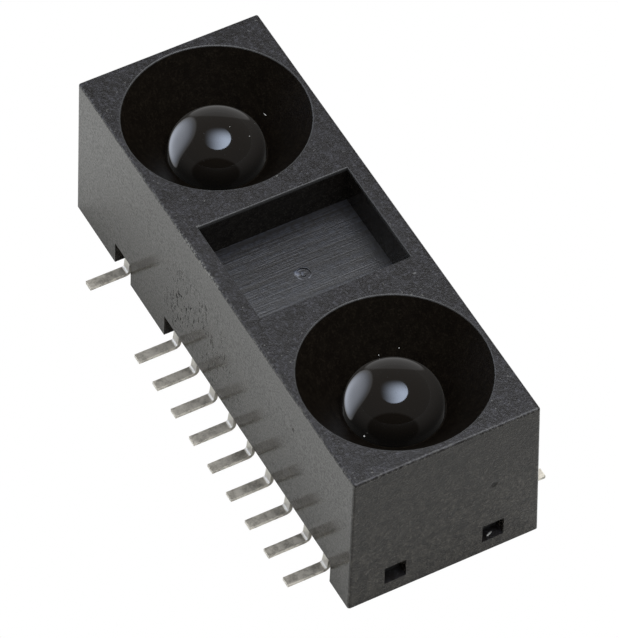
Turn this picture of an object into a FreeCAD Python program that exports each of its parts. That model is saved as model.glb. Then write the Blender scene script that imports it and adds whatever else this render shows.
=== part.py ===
import FreeCAD, Part
import math
import os
import re

import Sketcher

# Compact optical distance sensor. Millimetres, +Z up.
# The origin is under the middle of the case, on the board that the leads stand on.
# +X runs along the case towards the detector, and the two lead rows stand along -Y and +Y.

# Driving dimensions, one row of the sheet each
SIZES = {
    # moulded case
    "case_length": 22.0,
    "case_width": 8.0,
    "case_height": 7.1,
    "stand_off": 0.1,
    "end_draft": 0.1,
    "side_draft": 0.16,
    "edge_round": 0.1,
    "side_wall": 0.9,
    "end_wall": 0.9,
    # conical apertures and the lens seats under them
    "aperture_setback": 4.05,
    "rim_margin": 0.19,
    "bore_depth": 2.05,
    "bore_land": 0.06,
    "rim_round": 0.05,
    "floor_thickness": 0.8,
    "collar_wall": 0.35,
    "collar_drop": 0.1,
    # recess between the apertures, with the mark that the moulding gate left
    "recess_web": 0.85,
    "recess_margin": 0.69,
    "recess_depth": 1.8,
    "gate_radius": 0.27,
    "gate_depth": 0.06,
    "gate_stub_radius": 0.11,
    "gate_stub_height": 0.04,
    # light shield between the two chambers
    "partition_thickness": 1.0,
    # openings along the case's lower edge
    "gap_height": 1.1,
    "gap_margin_far": 0.57,
    "gap_margin_near": 0.73,
    "window_size": 0.9,
    "window_spacing": 4.1,
    "window_bottom": 0.6,
    # dome lenses
    "lens_radius": 1.85,
    "lens_clearance": 0.04,
    "dome_rise": 0.25,
    "dome_height": 1.35,
    "flange_radius": 2.4,
    "flange_thickness": 0.5,
    # carrier that closes the case from below
    "carrier_height": 1.9,
    "carrier_lift": 0.15,
    "carrier_clearance": 0.05,
    "groove_depth": 0.3,
    "groove_clearance": 0.05,
    "nub_reach": 0.5,
    "nub_land": 0.25,
    "nub_clearance": 0.05,
    # wells in the carrier and the resin that fills them
    "well_side_wall": 0.75,
    "well_end_wall": 0.6,
    "well_web": 0.4,
    "emitter_well_length": 2.4,
    "resin_drop": 0.1,
    # leads
    "lead_width": 0.4,
    "lead_thickness": 0.15,
    "lead_pitch": 1.49,
    "row_setback": 2.17,
    "lone_setback": 3.82,
    "row_clearance": 3.4,
    "foot_reach": 1.45,
    "tail_height": 0.8,
    "tail_reach": 0.45,
    "bend_radius": 0.12,
    "leg_inset": 0.24,
    "leg_splay": 0.11,
    # die pads, each one piece with its lead
    "pad_end_gap": 0.6,
    "pad_side_gap": 0.45,
    # chips: a small emitter, and two that fill their pads up to a margin
    "emitter_chip_size": 0.35,
    "emitter_chip_height": 0.2,
    "detector_chip_margin": 0.4,
    "control_chip_margin": 0.2,
    "chip_height": 0.25,
    # bond wires
    "wire_radius": 0.025,
    "wire_loop": 0.3,
    "bond_inset": 0.15,
}

# Heights and half widths that follow from the driving dimensions
CASE_TOP = "(stand_off + case_height)"
RIM_RADIUS = "(case_width / 2 - side_draft - rim_margin)"
BORE_FLOOR = f"({CASE_TOP} - bore_depth)"
CEILING = f"({BORE_FLOOR} - floor_thickness)"
RECESS_FLOOR = f"({CASE_TOP} - recess_depth)"
RECESS_END = f"(case_length / 2 - aperture_setback - {RIM_RADIUS} - recess_web)"
RECESS_SIDE = "(case_width / 2 - side_draft - recess_margin)"
INNER_END = "(case_length / 2 - end_wall)"
INNER_SIDE = "(case_width / 2 - side_wall)"
CARRIER_BOTTOM = "(stand_off + carrier_lift)"
CARRIER_TOP = f"({CARRIER_BOTTOM} + carrier_height)"
CARRIER_END = f"({INNER_END} - carrier_clearance)"
CARRIER_SIDE = f"({INNER_SIDE} - carrier_clearance)"
PARTITION_FOOT = f"({CARRIER_TOP} - groove_depth)"
GROOVE_SIDE = "(partition_thickness / 2 + groove_clearance)"
WELL_SIDE = f"({CARRIER_SIDE} - well_side_wall)"
TAIL_END = f"({WELL_SIDE} - tail_reach)"
PAD_SIDE = f"({TAIL_END} - pad_side_gap)"
FOOT_TIP = "(case_width / 2 + foot_reach)"
ANKLE = "(case_width / 2 - leg_inset)"
LEAD_TOP = "(tail_height + lead_thickness)"
GAP_TOP = "(stand_off + gap_height)"
WINDOW_LOW = "(stand_off + window_bottom)"
WINDOW_HIGH = f"({WINDOW_LOW} + window_size)"
DOME_FOOT = f"({BORE_FLOOR} + dome_rise)"
FLANGE_BOTTOM = f"({CEILING} - flange_thickness)"
COLLAR_BORE = "(flange_radius + lens_clearance)"
LENS_HOLE = "(lens_radius + lens_clearance)"

# Places along the case
EMITTER_X = "(aperture_setback - case_length / 2)"
DETECTOR_X = "(case_length / 2 - aperture_setback)"
LONE_LEAD_X = "(lone_setback - case_length / 2)"
ROW_END_X = "(case_length / 2 - row_setback)"
RECEIVER_START = f"({GROOVE_SIDE} + well_end_wall)"
RECEIVER_END = f"({CARRIER_END} - well_end_wall)"
RECEIVER_MIDDLE = f"({RECEIVER_START} + {RECEIVER_END}) / 2"

# Wells in the carrier, one to a chip: where each starts and ends along the case
WELLS = {
    "emitter": (f"({EMITTER_X} - emitter_well_length / 2)", f"({EMITTER_X} + emitter_well_length / 2)"),
    "control": (RECEIVER_START, f"({RECEIVER_MIDDLE} - well_web / 2)"),
    "detector": (f"({RECEIVER_MIDDLE} + well_web / 2)", RECEIVER_END),
}

# Two lengths that differ by less than this are the same
SAME = 1e-4

doc = FreeCAD.newDocument("distance_sensor")
sheet = doc.addObject("Spreadsheet::Sheet", "Sizes")
for row, (alias, size) in enumerate(SIZES.items(), start=1):
    sheet.set(f"A{row}", alias)
    sheet.set(f"B{row}", str(size))
    sheet.setAlias(f"B{row}", alias)
doc.recompute()


def bound(expression):
    """The expression as the other objects of the document read it from the sheet."""
    return re.sub(r"[a-z_]+", lambda word: "Sizes." * (word[0] in SIZES) + word[0], expression)


def value(expression):
    """The number that an expression of the sheet stands for."""
    return float(sheet.evalExpression(expression))


def bind(item, prop, expression):
    """Ties a property to the sheet."""
    item.setExpression(prop, bound(expression))


# Leads of one side: a lone one under the emitter, then a row of as many as fit at their pitch
row_room = value(f"{ROW_END_X} - {LONE_LEAD_X} - row_clearance")
lead_count = 2 + int(row_room / value("lead_pitch"))


def lead_x(number):
    """Place along the case of a lead, counted from the emitter end."""
    if number == 1:
        return LONE_LEAD_X
    return f"({ROW_END_X} - {lead_count - number} * lead_pitch)"


def well_middle(chip):
    """Middle of a chip's well along the case."""
    start, end = WELLS[chip]
    return f"(({start} + {end}) / 2)"


def pad_length(chip):
    """Length along the case of the pad that carries a chip."""
    start, end = WELLS[chip]
    return f"({end} - {start} - 2 * pad_end_gap)"


def pad_lead(chip):
    """The lead nearest the middle of a chip's well, which carries the chip's pad."""
    middle = well_middle(chip)
    return min(range(1, lead_count + 1), key=lambda number: abs(value(f"{lead_x(number)} - {middle}")))


def hold(sketch, kind, geometry, point, expression):
    """Fixes one coordinate of a point of a sketch."""
    index = sketch.addConstraint(Sketcher.Constraint(kind, geometry, point, value(expression)))
    bind(sketch, f"Constraints[{index}]", expression)


def new_sketch(body, name, role, offset="0", shift="0"):
    """A sketch on an origin plane, moved along the plane's normal and along its own first axis."""
    sketch = body.newObject("Sketcher::SketchObject", name)
    plane = next(item for item in body.Origin.OriginFeatures if item.Role == role)
    sketch.AttachmentSupport = [(plane, "")]
    sketch.MapMode = "FlatFace"
    bind(sketch, ".AttachmentOffset.Base.z", offset)
    bind(sketch, ".AttachmentOffset.Base.x", shift)
    return sketch


def add_chain(sketch, corners):
    """Straight lines from corner to corner, each corner held at its two expressions."""
    points = [FreeCAD.Vector(value(across), value(up), 0) for across, up in corners]
    lines = [
        sketch.addGeometry(Part.LineSegment(start, end))
        for start, end in zip(points[:-1], points[1:])
    ]
    for line, (across, up) in zip(lines, corners):
        hold(sketch, "DistanceX", line, 1, across)
        hold(sketch, "DistanceY", line, 1, up)
    for line, following in zip(lines[:-1], lines[1:]):
        sketch.addConstraint(Sketcher.Constraint("Coincident", line, 2, following, 1))
    return lines


def add_polygon(sketch, corners):
    """A closed outline with straight sides."""
    lines = add_chain(sketch, corners + corners[:1])
    sketch.addConstraint(Sketcher.Constraint("Coincident", lines[-1], 2, lines[0], 1))


def add_rectangle(sketch, left, right, low, high):
    """An upright rectangle between four expressions."""
    add_polygon(sketch, [(left, low), (right, low), (right, high), (left, high)])


def add_circle(sketch, across, up, radius):
    """A circle held at its centre."""
    centre = FreeCAD.Vector(value(across), value(up), 0)
    circle = sketch.addGeometry(Part.Circle(centre, FreeCAD.Vector(0, 0, 1), value(radius)))
    hold(sketch, "DistanceX", circle, 3, across)
    hold(sketch, "DistanceY", circle, 3, up)
    index = sketch.addConstraint(Sketcher.Constraint("Radius", circle, value(radius)))
    bind(sketch, f"Constraints[{index}]", radius)


def add_arc(sketch, across, up, radius, start, end):
    """An arc drawn near its place, to be held by its neighbours."""
    circle = Part.Circle(FreeCAD.Vector(across, up, 0), FreeCAD.Vector(0, 0, 1), radius)
    return sketch.addGeometry(Part.ArcOfCircle(circle, start, end))


def add_feature(body, kind, name, sketch):
    """A feature of a body made from a sketch."""
    feature = body.newObject(f"PartDesign::{kind}", name)
    feature.Profile = sketch
    return feature


def add_pad(body, name, sketch, length, reverse=False, symmetric=False):
    """Material to one side of the sketch, or half of it to each side."""
    pad = add_feature(body, "Pad", name, sketch)
    bind(pad, "Length", length)
    pad.Reversed = reverse
    if symmetric:
        pad.SideType = "Symmetric"
    return pad


def add_pocket(body, name, sketch, depth, upward=False):
    """A blind cut, against the sketch's normal unless it goes upward."""
    pocket = add_feature(body, "Pocket", name, sketch)
    bind(pocket, "Length", depth)
    pocket.Reversed = upward
    return pocket


def add_through_cut(body, name, sketch):
    """A cut that goes right through to both sides of the sketch."""
    cut = add_feature(body, "Pocket", name, sketch)
    cut.Type = "ThroughAll"
    cut.SideType = "Symmetric"
    return cut


def add_turned(body, kind, name, sketch):
    """A full turn of the sketch about its own upright axis."""
    turned = add_feature(body, kind, name, sketch)
    turned.ReferenceAxis = (sketch, ["V_Axis"])
    turned.Angle = 360
    return turned


def add_fillet(body, name, base, chosen, radius):
    """Rounds the edges of a feature that the test picks out."""
    doc.recompute()
    names = [f"Edge{i}" for i, edge in enumerate(base.Shape.Edges, start=1) if chosen(edge)]
    fillet = body.newObject("PartDesign::Fillet", name)
    fillet.Base = (base, names)
    bind(fillet, "Radius", radius)
    return fillet


def add_box(name, centre_x, centre_y, bottom, length, width, height):
    """A plain block that stands on a height, centred on a place."""
    block = doc.addObject("Part::Box", name)
    bind(block, "Length", length)
    bind(block, "Width", width)
    bind(block, "Height", height)
    bind(block, ".Placement.Base.x", f"{centre_x} - {length} / 2")
    bind(block, ".Placement.Base.y", f"{centre_y} - {width} / 2")
    bind(block, ".Placement.Base.z", bottom)
    return block


def add_cut(name, base, tools):
    """A block with the room that other pieces take up in it."""
    room = doc.addObject("Part::MultiFuse", f"{name}_room")
    room.Shapes = tools
    cut = doc.addObject("Part::Cut", name)
    cut.Base = base
    cut.Tool = room
    return cut


def lies_at(edge, height):
    """Whether all of an edge lies at one height."""
    return all(abs(vertex.Z - height) < SAME for vertex in edge.Vertexes)


def make_housing():
    """Black moulded case: drafted walls, two conical apertures, recess, chambers and openings."""
    body = doc.addObject("PartDesign::Body", "housing")

    section = new_sketch(body, "case_section", "YZ_Plane")
    add_polygon(section, [
        ("-case_width / 2", "stand_off"),
        ("case_width / 2", "stand_off"),
        ("case_width / 2 - side_draft", CASE_TOP),
        ("side_draft - case_width / 2", CASE_TOP),
    ])
    add_pad(body, "case_block", section, "case_length", symmetric=True)

    ends = new_sketch(body, "end_draft_section", "XZ_Plane")
    for end in ("", "-"):
        add_polygon(ends, [
            (f"{end}(case_length / 2)", "stand_off"),
            (f"{end}(case_length / 2 + end_wall)", "stand_off"),
            (f"{end}(case_length / 2 + end_wall)", CASE_TOP),
            (f"{end}(case_length / 2 - end_draft)", CASE_TOP),
        ])
    drafted = add_through_cut(body, "end_drafts", ends)

    top = value(CASE_TOP)
    half_height = value("case_height") / 2
    add_fillet(
        body, "outer_rounds", drafted,
        lambda edge: lies_at(edge, top) or edge.BoundBox.ZLength > half_height,
        "edge_round",
    )

    recess = new_sketch(body, "recess_outline", "XY_Plane", CASE_TOP)
    add_rectangle(recess, f"-{RECESS_END}", RECESS_END, f"-{RECESS_SIDE}", RECESS_SIDE)
    add_pocket(body, "recess", recess, "recess_depth")
    gate = new_sketch(body, "gate_outline", "XY_Plane", RECESS_FLOOR)
    add_circle(gate, "0", "0", "gate_radius")
    add_pocket(body, "gate_dimple", gate, "gate_depth")
    stub = new_sketch(body, "gate_stub_outline", "XY_Plane", f"{RECESS_FLOOR} - gate_depth")
    add_circle(stub, "0", "0", "gate_stub_radius")
    add_pad(body, "gate_stub", stub, "gate_stub_height")

    entry = new_sketch(body, "carrier_bay_outline", "XY_Plane", "stand_off")
    add_rectangle(entry, f"-{INNER_END}", INNER_END, f"-{INNER_SIDE}", INNER_SIDE)
    add_pocket(body, "carrier_bay", entry, f"{PARTITION_FOOT} - stand_off", upward=True)
    chambers = new_sketch(body, "chamber_outlines", "XY_Plane", PARTITION_FOOT)
    add_rectangle(
        chambers, f"-{INNER_END}", "-partition_thickness / 2", f"-{INNER_SIDE}", INNER_SIDE)
    add_rectangle(
        chambers, "partition_thickness / 2", INNER_END, f"-{INNER_SIDE}", INNER_SIDE)
    add_pocket(body, "chambers", chambers, f"{CEILING} - {PARTITION_FOOT}", upward=True)

    collars = new_sketch(body, "collar_outlines", "XY_Plane", CEILING)
    for centre in (EMITTER_X, DETECTOR_X):
        add_circle(collars, centre, "0", f"{COLLAR_BORE} + collar_wall")
    add_pad(body, "lens_collars", collars, "flange_thickness + collar_drop", reverse=True)

    for name, centre in (("emitter", EMITTER_X), ("detector", DETECTOR_X)):
        cone = new_sketch(body, f"{name}_cone_section", "XZ_Plane", shift=centre)
        add_polygon(cone, [
            ("0", f"{FLANGE_BOTTOM} - collar_drop"),
            (COLLAR_BORE, f"{FLANGE_BOTTOM} - collar_drop"),
            (COLLAR_BORE, CEILING),
            (LENS_HOLE, CEILING),
            (LENS_HOLE, BORE_FLOOR),
            (f"{LENS_HOLE} + bore_land", BORE_FLOOR),
            (RIM_RADIUS, CASE_TOP),
            ("0", CASE_TOP),
        ])
        add_turned(body, "Groove", f"{name}_cone", cone)

    gaps = new_sketch(body, "lead_gap_outlines", "XZ_Plane")
    for first, last in ((1, 1), (2, lead_count)):
        add_rectangle(
            gaps,
            f"{lead_x(first)} - gap_margin_far",
            f"{lead_x(last)} + gap_margin_near",
            "0",
            GAP_TOP,
        )
    add_through_cut(body, "lead_gaps", gaps)

    windows = new_sketch(body, "latch_window_outlines", "YZ_Plane")
    for side in ("-", ""):
        centre = f"{side}(window_spacing / 2)"
        add_rectangle(
            windows,
            f"{centre} - window_size / 2",
            f"{centre} + window_size / 2",
            WINDOW_LOW,
            WINDOW_HIGH,
        )
    opened = add_through_cut(body, "latch_windows", windows)

    rim_length = 2 * math.pi * value(RIM_RADIUS)
    reach_x = value(RECESS_END) + SAME
    reach_y = value(RECESS_SIDE) + SAME

    def is_mouth(edge):
        """Whether an edge is an aperture's rim or one of the recess's four top edges."""
        middle = edge.CenterOfMass
        at_recess = abs(middle.x) < reach_x and abs(middle.y) < reach_y
        return lies_at(edge, top) and (at_recess or abs(edge.Length - rim_length) < SAME)

    add_fillet(body, "rim_rounds", opened, is_mouth, "rim_round")
    return body


def make_lens(name, centre):
    """Flattened dome of dark resin on a short stem, with a flange that seats under the cone."""
    body = doc.addObject("PartDesign::Body", name)
    half = new_sketch(body, f"{name}_stem_section", "XZ_Plane")
    add_polygon(half, [
        ("0", FLANGE_BOTTOM),
        ("flange_radius", FLANGE_BOTTOM),
        ("flange_radius", CEILING),
        ("lens_radius", CEILING),
        ("lens_radius", DOME_FOOT),
        ("0", DOME_FOOT),
    ])
    add_turned(body, "Revolution", f"{name}_stem", half)
    dome = body.newObject("PartDesign::AdditiveEllipsoid", f"{name}_dome")
    dome.Angle1 = 0
    bind(dome, "Radius1", "dome_height")
    bind(dome, "Radius2", "lens_radius")
    bind(dome, "Radius3", "lens_radius")
    bind(dome, ".Placement.Base.z", DOME_FOOT)
    bind(body, ".Placement.Base.x", centre)
    return body


def add_lead_path(body):
    """Centre line of a gull-wing lead: tail, bend, leaning leg, bend and foot."""
    path = new_sketch(body, f"{body.Label}_path", "YZ_Plane")
    half = "lead_thickness / 2"
    tail_level = f"tail_height + {half}"

    # Corners where the straight runs would meet, joined by the line that the leg lies on
    leg_line = add_chain(path, [
        (f"leg_splay - {ANKLE}", tail_level),
        (f"-{ANKLE}", half),
    ])[0]
    hold(path, "DistanceX", leg_line, 2, f"-{ANKLE}")
    hold(path, "DistanceY", leg_line, 2, half)
    path.setConstruction(leg_line, True)

    radius = value(f"bend_radius + {half}")
    high = value(tail_level)
    low = value(half)
    lean = math.atan2(value("leg_splay"), high - low)
    setback = radius * math.tan((math.pi / 2 - lean) / 2)
    shoulder_y = value(f"leg_splay - {ANKLE}")
    ankle_y = value(f"-{ANKLE}")
    along_leg = FreeCAD.Vector(-math.sin(lean), -math.cos(lean), 0)
    tail_start = FreeCAD.Vector(value(f"-{TAIL_END}"), high, 0)
    tail_end = FreeCAD.Vector(shoulder_y + setback, high, 0)
    leg_start = FreeCAD.Vector(shoulder_y, high, 0) + along_leg * setback
    leg_end = FreeCAD.Vector(ankle_y, low, 0) - along_leg * setback
    foot_start = FreeCAD.Vector(ankle_y - setback, low, 0)
    foot_end = FreeCAD.Vector(value(f"-{FOOT_TIP}"), low, 0)

    tail = path.addGeometry(Part.LineSegment(tail_start, tail_end))
    shoulder = add_arc(
        path, tail_end.x, high - radius, radius, math.pi / 2, math.pi - lean)
    leg = path.addGeometry(Part.LineSegment(leg_start, leg_end))
    ankle = add_arc(path, foot_start.x, low + radius, radius, -math.pi / 2, -lean)
    foot = path.addGeometry(Part.LineSegment(foot_start, foot_end))

    for first, end, second, start in (
            (tail, 2, shoulder, 1), (shoulder, 2, leg, 1), (leg, 2, ankle, 2), (ankle, 1, foot, 1)):
        path.addConstraint(Sketcher.Constraint("Tangent", first, end, second, start))
    hold(path, "DistanceX", tail, 1, f"-{TAIL_END}")
    hold(path, "DistanceY", tail, 1, tail_level)
    hold(path, "DistanceX", foot, 2, f"-{FOOT_TIP}")
    hold(path, "DistanceY", foot, 2, half)
    path.addConstraint(Sketcher.Constraint("Horizontal", tail))
    path.addConstraint(Sketcher.Constraint("Horizontal", foot))
    for end in (1, 2):
        path.addConstraint(Sketcher.Constraint("PointOnObject", leg, end, leg_line))
    for bend in (shoulder, ankle):
        index = path.addConstraint(Sketcher.Constraint("Radius", bend, radius))
        bind(path, f"Constraints[{index}]", f"bend_radius + {half}")
    return path


def make_lead(name, number, side):
    """Formed strip of tin-plated copper, from its tail in the carrier to its foot."""
    body = doc.addObject("PartDesign::Body", name)
    path = add_lead_path(body)
    section = new_sketch(body, f"{name}_section", "XZ_Plane", TAIL_END)
    add_rectangle(section, "-lead_width / 2", "lead_width / 2", "tail_height", LEAD_TOP)
    doc.recompute()
    strip = add_feature(body, "AdditivePipe", f"{name}_strip", section)
    strip.Spine = (path, [f"Edge{i}" for i in range(1, len(path.Shape.Edges) + 1)])
    bind(body, ".Placement.Base.x", lead_x(number))
    if side == "right":
        body.Placement.Rotation = FreeCAD.Rotation(FreeCAD.Vector(0, 0, 1), 180)
    return body


def add_die_pad(body, chip, number):
    """Pad in one piece with a lead's tail, with the tie that joins them."""
    middle = f"({well_middle(chip)} - {lead_x(number)})"
    tie = new_sketch(body, f"{chip}_tie_outline", "XY_Plane", "tail_height")
    add_rectangle(tie, "-lead_width / 2", "lead_width / 2", f"-{TAIL_END}", f"-{PAD_SIDE}")
    add_pad(body, f"{chip}_tie", tie, "lead_thickness")
    pad = new_sketch(body, f"{chip}_pad_outline", "XY_Plane", "tail_height")
    add_rectangle(
        pad,
        f"{middle} - {pad_length(chip)} / 2",
        f"{middle} + {pad_length(chip)} / 2",
        f"-{PAD_SIDE}",
        PAD_SIDE,
    )
    add_pad(body, f"{chip}_pad", pad, "lead_thickness")


def make_carrier(leads):
    """Moulding that closes the case from below, made round the leads, with a nub per window."""
    body = doc.addObject("PartDesign::Body", "carrier_block")
    outline = new_sketch(body, "carrier_outline", "XY_Plane", CARRIER_BOTTOM)
    add_rectangle(outline, f"-{CARRIER_END}", CARRIER_END, f"-{CARRIER_SIDE}", CARRIER_SIDE)
    add_pad(body, "carrier_slab", outline, "carrier_height")

    groove = new_sketch(body, "shield_groove_outline", "XY_Plane", CARRIER_TOP)
    add_rectangle(groove, f"-{GROOVE_SIDE}", GROOVE_SIDE, f"-{INNER_SIDE}", INNER_SIDE)
    add_pocket(body, "shield_groove", groove, "groove_depth")

    wells = new_sketch(body, "well_outlines", "XY_Plane", CARRIER_TOP)
    for start, end in WELLS.values():
        add_rectangle(wells, start, end, f"-{WELL_SIDE}", WELL_SIDE)
    add_pocket(body, "wells", wells, f"{CARRIER_TOP} - {LEAD_TOP}")

    low = f"({WINDOW_LOW} + nub_clearance)"
    for end in ("-", ""):
        for side in ("-", ""):
            label = f"nub_{'far' if end else 'near'}_{'left' if side else 'right'}"
            # The sketch's normal points to -Y, so the offset changes its sign
            nub = new_sketch(
                body, f"{label}_section", "XZ_Plane", f"{'' if side else '-'}window_spacing / 2")
            add_polygon(nub, [
                (f"{end}{CARRIER_END}", low),
                (f"{end}({CARRIER_END} + nub_reach)", low),
                (f"{end}({CARRIER_END} + nub_reach)", f"{low} + nub_land"),
                (f"{end}{CARRIER_END}", f"{WINDOW_HIGH} - nub_clearance"),
            ])
            add_pad(body, label, nub, "window_size - 2 * nub_clearance", symmetric=True)
    return add_cut("carrier", body, leads)


def bond_wire(chip_point, lead_point):
    """Thin wire that rises from a chip, crosses above it and drops to a lead."""
    top = chip_point.z + value("wire_loop")
    points = [
        chip_point,
        FreeCAD.Vector(chip_point.x, chip_point.y, top),
        FreeCAD.Vector(lead_point.x, lead_point.y, top),
        lead_point,
    ]
    sides = 6
    radius = value("wire_radius")
    ring = [
        chip_point + FreeCAD.Vector(
            radius * math.cos(2 * math.pi * i / sides), radius * math.sin(2 * math.pi * i / sides), 0)
        for i in range(sides)
    ]
    square_corner = 1
    path = Part.makePolygon(points)
    section = Part.makePolygon(ring + ring[:1])
    return path.makePipeShell([section], True, True, square_corner)


def make_chip(name, chip, length, width, height):
    """Chip in the middle of its pad."""
    return add_box(name, well_middle(chip), "0", LEAD_TOP, length, width, height)


def make_wires(name, chip, length, width, height):
    """The bond wires of one chip, one to each lead end in its well but its own pad's."""
    start, end = (value(side) for side in WELLS[chip])
    middle = value(well_middle(chip))
    reach_x = value(f"{length} / 2 - bond_inset")
    reach_y = value(f"{width} / 2 - bond_inset")
    lead_y = value(f"{TAIL_END} + bond_inset")
    half_lead = value("lead_width / 2")
    level = value(LEAD_TOP)
    own = (pad_lead(chip), -1)
    wires = []
    for number in range(1, lead_count + 1):
        at_lead = value(lead_x(number))
        at_chip = max(middle - reach_x, min(middle + reach_x, at_lead))
        if start + half_lead > at_lead or at_lead > end - half_lead:
            continue
        for toward in (-1, 1):
            if (number, toward) != own:
                wires.append(bond_wire(
                    FreeCAD.Vector(at_chip, toward * reach_y, level + value(height)),
                    FreeCAD.Vector(at_lead, toward * lead_y, level),
                ))
    group = doc.addObject("Part::Feature", name)
    group.Shape = Part.makeCompound(wires)
    return group


def make_resin(name, chip, tools):
    """Casting that fills a well round what stands in it."""
    start, end = WELLS[chip]
    fill = add_box(
        f"{chip}_fill", well_middle(chip), "0", LEAD_TOP, f"({end} - {start})",
        f"(2 * {WELL_SIDE})", f"({CARRIER_TOP} - {LEAD_TOP} - resin_drop)",
    )
    return add_cut(name, fill, tools)


housing = make_housing()
lenses = [make_lens("emitter_lens", EMITTER_X), make_lens("detector_lens", DETECTOR_X)]

leads = {}
for side in ("left", "right"):
    for number in range(1, lead_count + 1):
        leads[number, side] = make_lead(f"lead_{side}_{number:02d}", number, side)
for chip in WELLS:
    add_die_pad(leads[pad_lead(chip), "left"], chip, pad_lead(chip))
carrier = make_carrier(list(leads.values()))

# Each chip with its length, width and height, and the names of the chip and of its wires
CHIPS = {
    "emitter": (
        "emitter_chip", "emitter_wire",
        "emitter_chip_size", "emitter_chip_size", "emitter_chip_height",
    ),
    "detector": (
        "position_detector_chip", "detector_wires",
        f"({pad_length('detector')} - 2 * detector_chip_margin)",
        f"(2 * ({PAD_SIDE} - detector_chip_margin))",
        "chip_height",
    ),
    "control": (
        "control_chip", "control_wires",
        f"({pad_length('control')} - 2 * control_chip_margin)",
        f"(2 * ({PAD_SIDE} - control_chip_margin))",
        "chip_height",
    ),
}
chip_sets = []
for chip, (chip_name, wire_name, length, width, height) in CHIPS.items():
    die = make_chip(chip_name, chip, length, width, height)
    wires = make_wires(wire_name, chip, length, width, height)
    chip_sets += [die, wires, make_resin(f"{chip}_resin", chip, [die, wires])]

doc.recompute()
pieces = [housing, *lenses, carrier, *leads.values(), *chip_sets]
failed = [item.Label for item in doc.Objects if {"Invalid", "Error"} & set(item.State)]
if failed:
    raise RuntimeError("features that did not build: " + ", ".join(failed))
for piece in pieces:
    if piece.Shape.isNull() or not piece.Shape.isValid() or not piece.Shape.Solids:
        raise RuntimeError("no sound solid in " + piece.Label)

os.makedirs("parts", exist_ok=True)
for piece in pieces:
    piece.Shape.exportStep(f"parts/{piece.Label}.step")
    print(f"{piece.Label}: {len(piece.Shape.Solids)} solid, {piece.Shape.Volume:.4f} mm3")
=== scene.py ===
import math

import bpy
from mathutils import Matrix, Vector


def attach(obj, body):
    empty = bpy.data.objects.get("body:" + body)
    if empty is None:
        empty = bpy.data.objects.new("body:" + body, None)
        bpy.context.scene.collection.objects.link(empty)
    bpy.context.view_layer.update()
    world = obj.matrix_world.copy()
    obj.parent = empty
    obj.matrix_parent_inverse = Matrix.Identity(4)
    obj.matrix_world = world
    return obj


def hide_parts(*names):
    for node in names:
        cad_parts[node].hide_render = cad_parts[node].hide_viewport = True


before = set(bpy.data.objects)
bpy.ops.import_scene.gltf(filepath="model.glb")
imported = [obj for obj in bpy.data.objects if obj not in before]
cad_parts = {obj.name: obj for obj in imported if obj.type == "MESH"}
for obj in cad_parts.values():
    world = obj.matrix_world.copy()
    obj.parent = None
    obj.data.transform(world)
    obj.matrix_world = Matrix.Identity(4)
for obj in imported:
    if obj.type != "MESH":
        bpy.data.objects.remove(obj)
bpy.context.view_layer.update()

# The camera stands where the photograph was taken from: above one end of the case and to its
# left, with a long lens. It aims at a point just above the middle of the case.
MM = 0.001
CAMERA_AZIMUTH = math.radians(60.911)
CAMERA_ELEVATION = math.radians(50.5445)
CAMERA_ROLL = math.radians(1.0145)
CAMERA_AIM = Vector((0.4995, 0.0075, 3.25)) * MM
CAMERA_DISTANCE = 209.19 * MM
CAMERA_NEAR = 10 * MM
CAMERA_LENS = 315.544
CAMERA_FILM = 36

camera = bpy.data.objects.new("camera", bpy.data.cameras.new("camera"))
camera.data.lens = CAMERA_LENS
camera.data.sensor_width = CAMERA_FILM
camera.data.clip_start = CAMERA_NEAR
turned = (
    Matrix.Rotation(CAMERA_AZIMUTH, 4, "Z")
    @ Matrix.Rotation(math.pi / 2 - CAMERA_ELEVATION, 4, "X")
    @ Matrix.Rotation(CAMERA_ROLL, 4, "Z")
)
place = CAMERA_AIM + turned.col[2].to_3d() * CAMERA_DISTANCE
camera.matrix_world = Matrix.Translation(place) @ turned
bpy.context.scene.collection.objects.link(camera)
bpy.context.scene.camera = camera

# White floor that the sensor stands on. The camera sees it as plain white; the sensor sees a
# matt, slightly warm white sheet. From below it is clear, so that the underside shows.
FLOOR_SIZE = 2.0
FLOOR_DROP = 0.005 * MM
FLOOR_SHEET = (0.95, 0.94, 0.89, 1.0)
PLAIN_WHITE = (1.0, 1.0, 1.0, 1.0)


def add(tree, kind, inputs=None, output=0, **settings):
    """Adds a shader node, its inputs set to values or joined to sockets, and gives an output."""
    made = tree.nodes.new("ShaderNode" + kind)
    for name, setting in settings.items():
        setattr(made, name, setting)
    for name, source in (inputs or {}).items():
        if isinstance(source, bpy.types.NodeSocket):
            tree.links.new(source, made.inputs[name])
        else:
            made.inputs[name].default_value = source
    return made.outputs[output]


def new_tree(owner, output):
    """The empty node tree of a material or world, with the input that takes its surface."""
    owner.use_nodes = True
    owner.node_tree.nodes.clear()
    return owner.node_tree, owner.node_tree.nodes.new(output).inputs["Surface"]


bpy.ops.mesh.primitive_grid_add(
    x_subdivisions=4, y_subdivisions=4, size=FLOOR_SIZE, location=(0, 0, -FLOOR_DROP))
floor = bpy.context.active_object
floor.name = "floor"
floor_look = bpy.data.materials.new("white_floor")
tree, surface = new_tree(floor_look, "ShaderNodeOutputMaterial")
sheet = add(tree, "BsdfDiffuse", {"Color": FLOOR_SHEET})
plain = add(tree, "Emission", {"Color": PLAIN_WHITE})
seen = add(tree, "LightPath", output="Is Camera Ray")
from_above = add(tree, "MixShader", {0: seen, 1: sheet, 2: plain})
from_below = add(tree, "BsdfTransparent")
back = add(tree, "NewGeometry", output="Backfacing")
tree.links.new(add(tree, "MixShader", {0: back, 1: from_above, 2: from_below}), surface)
floor.data.materials.append(floor_look)

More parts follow.
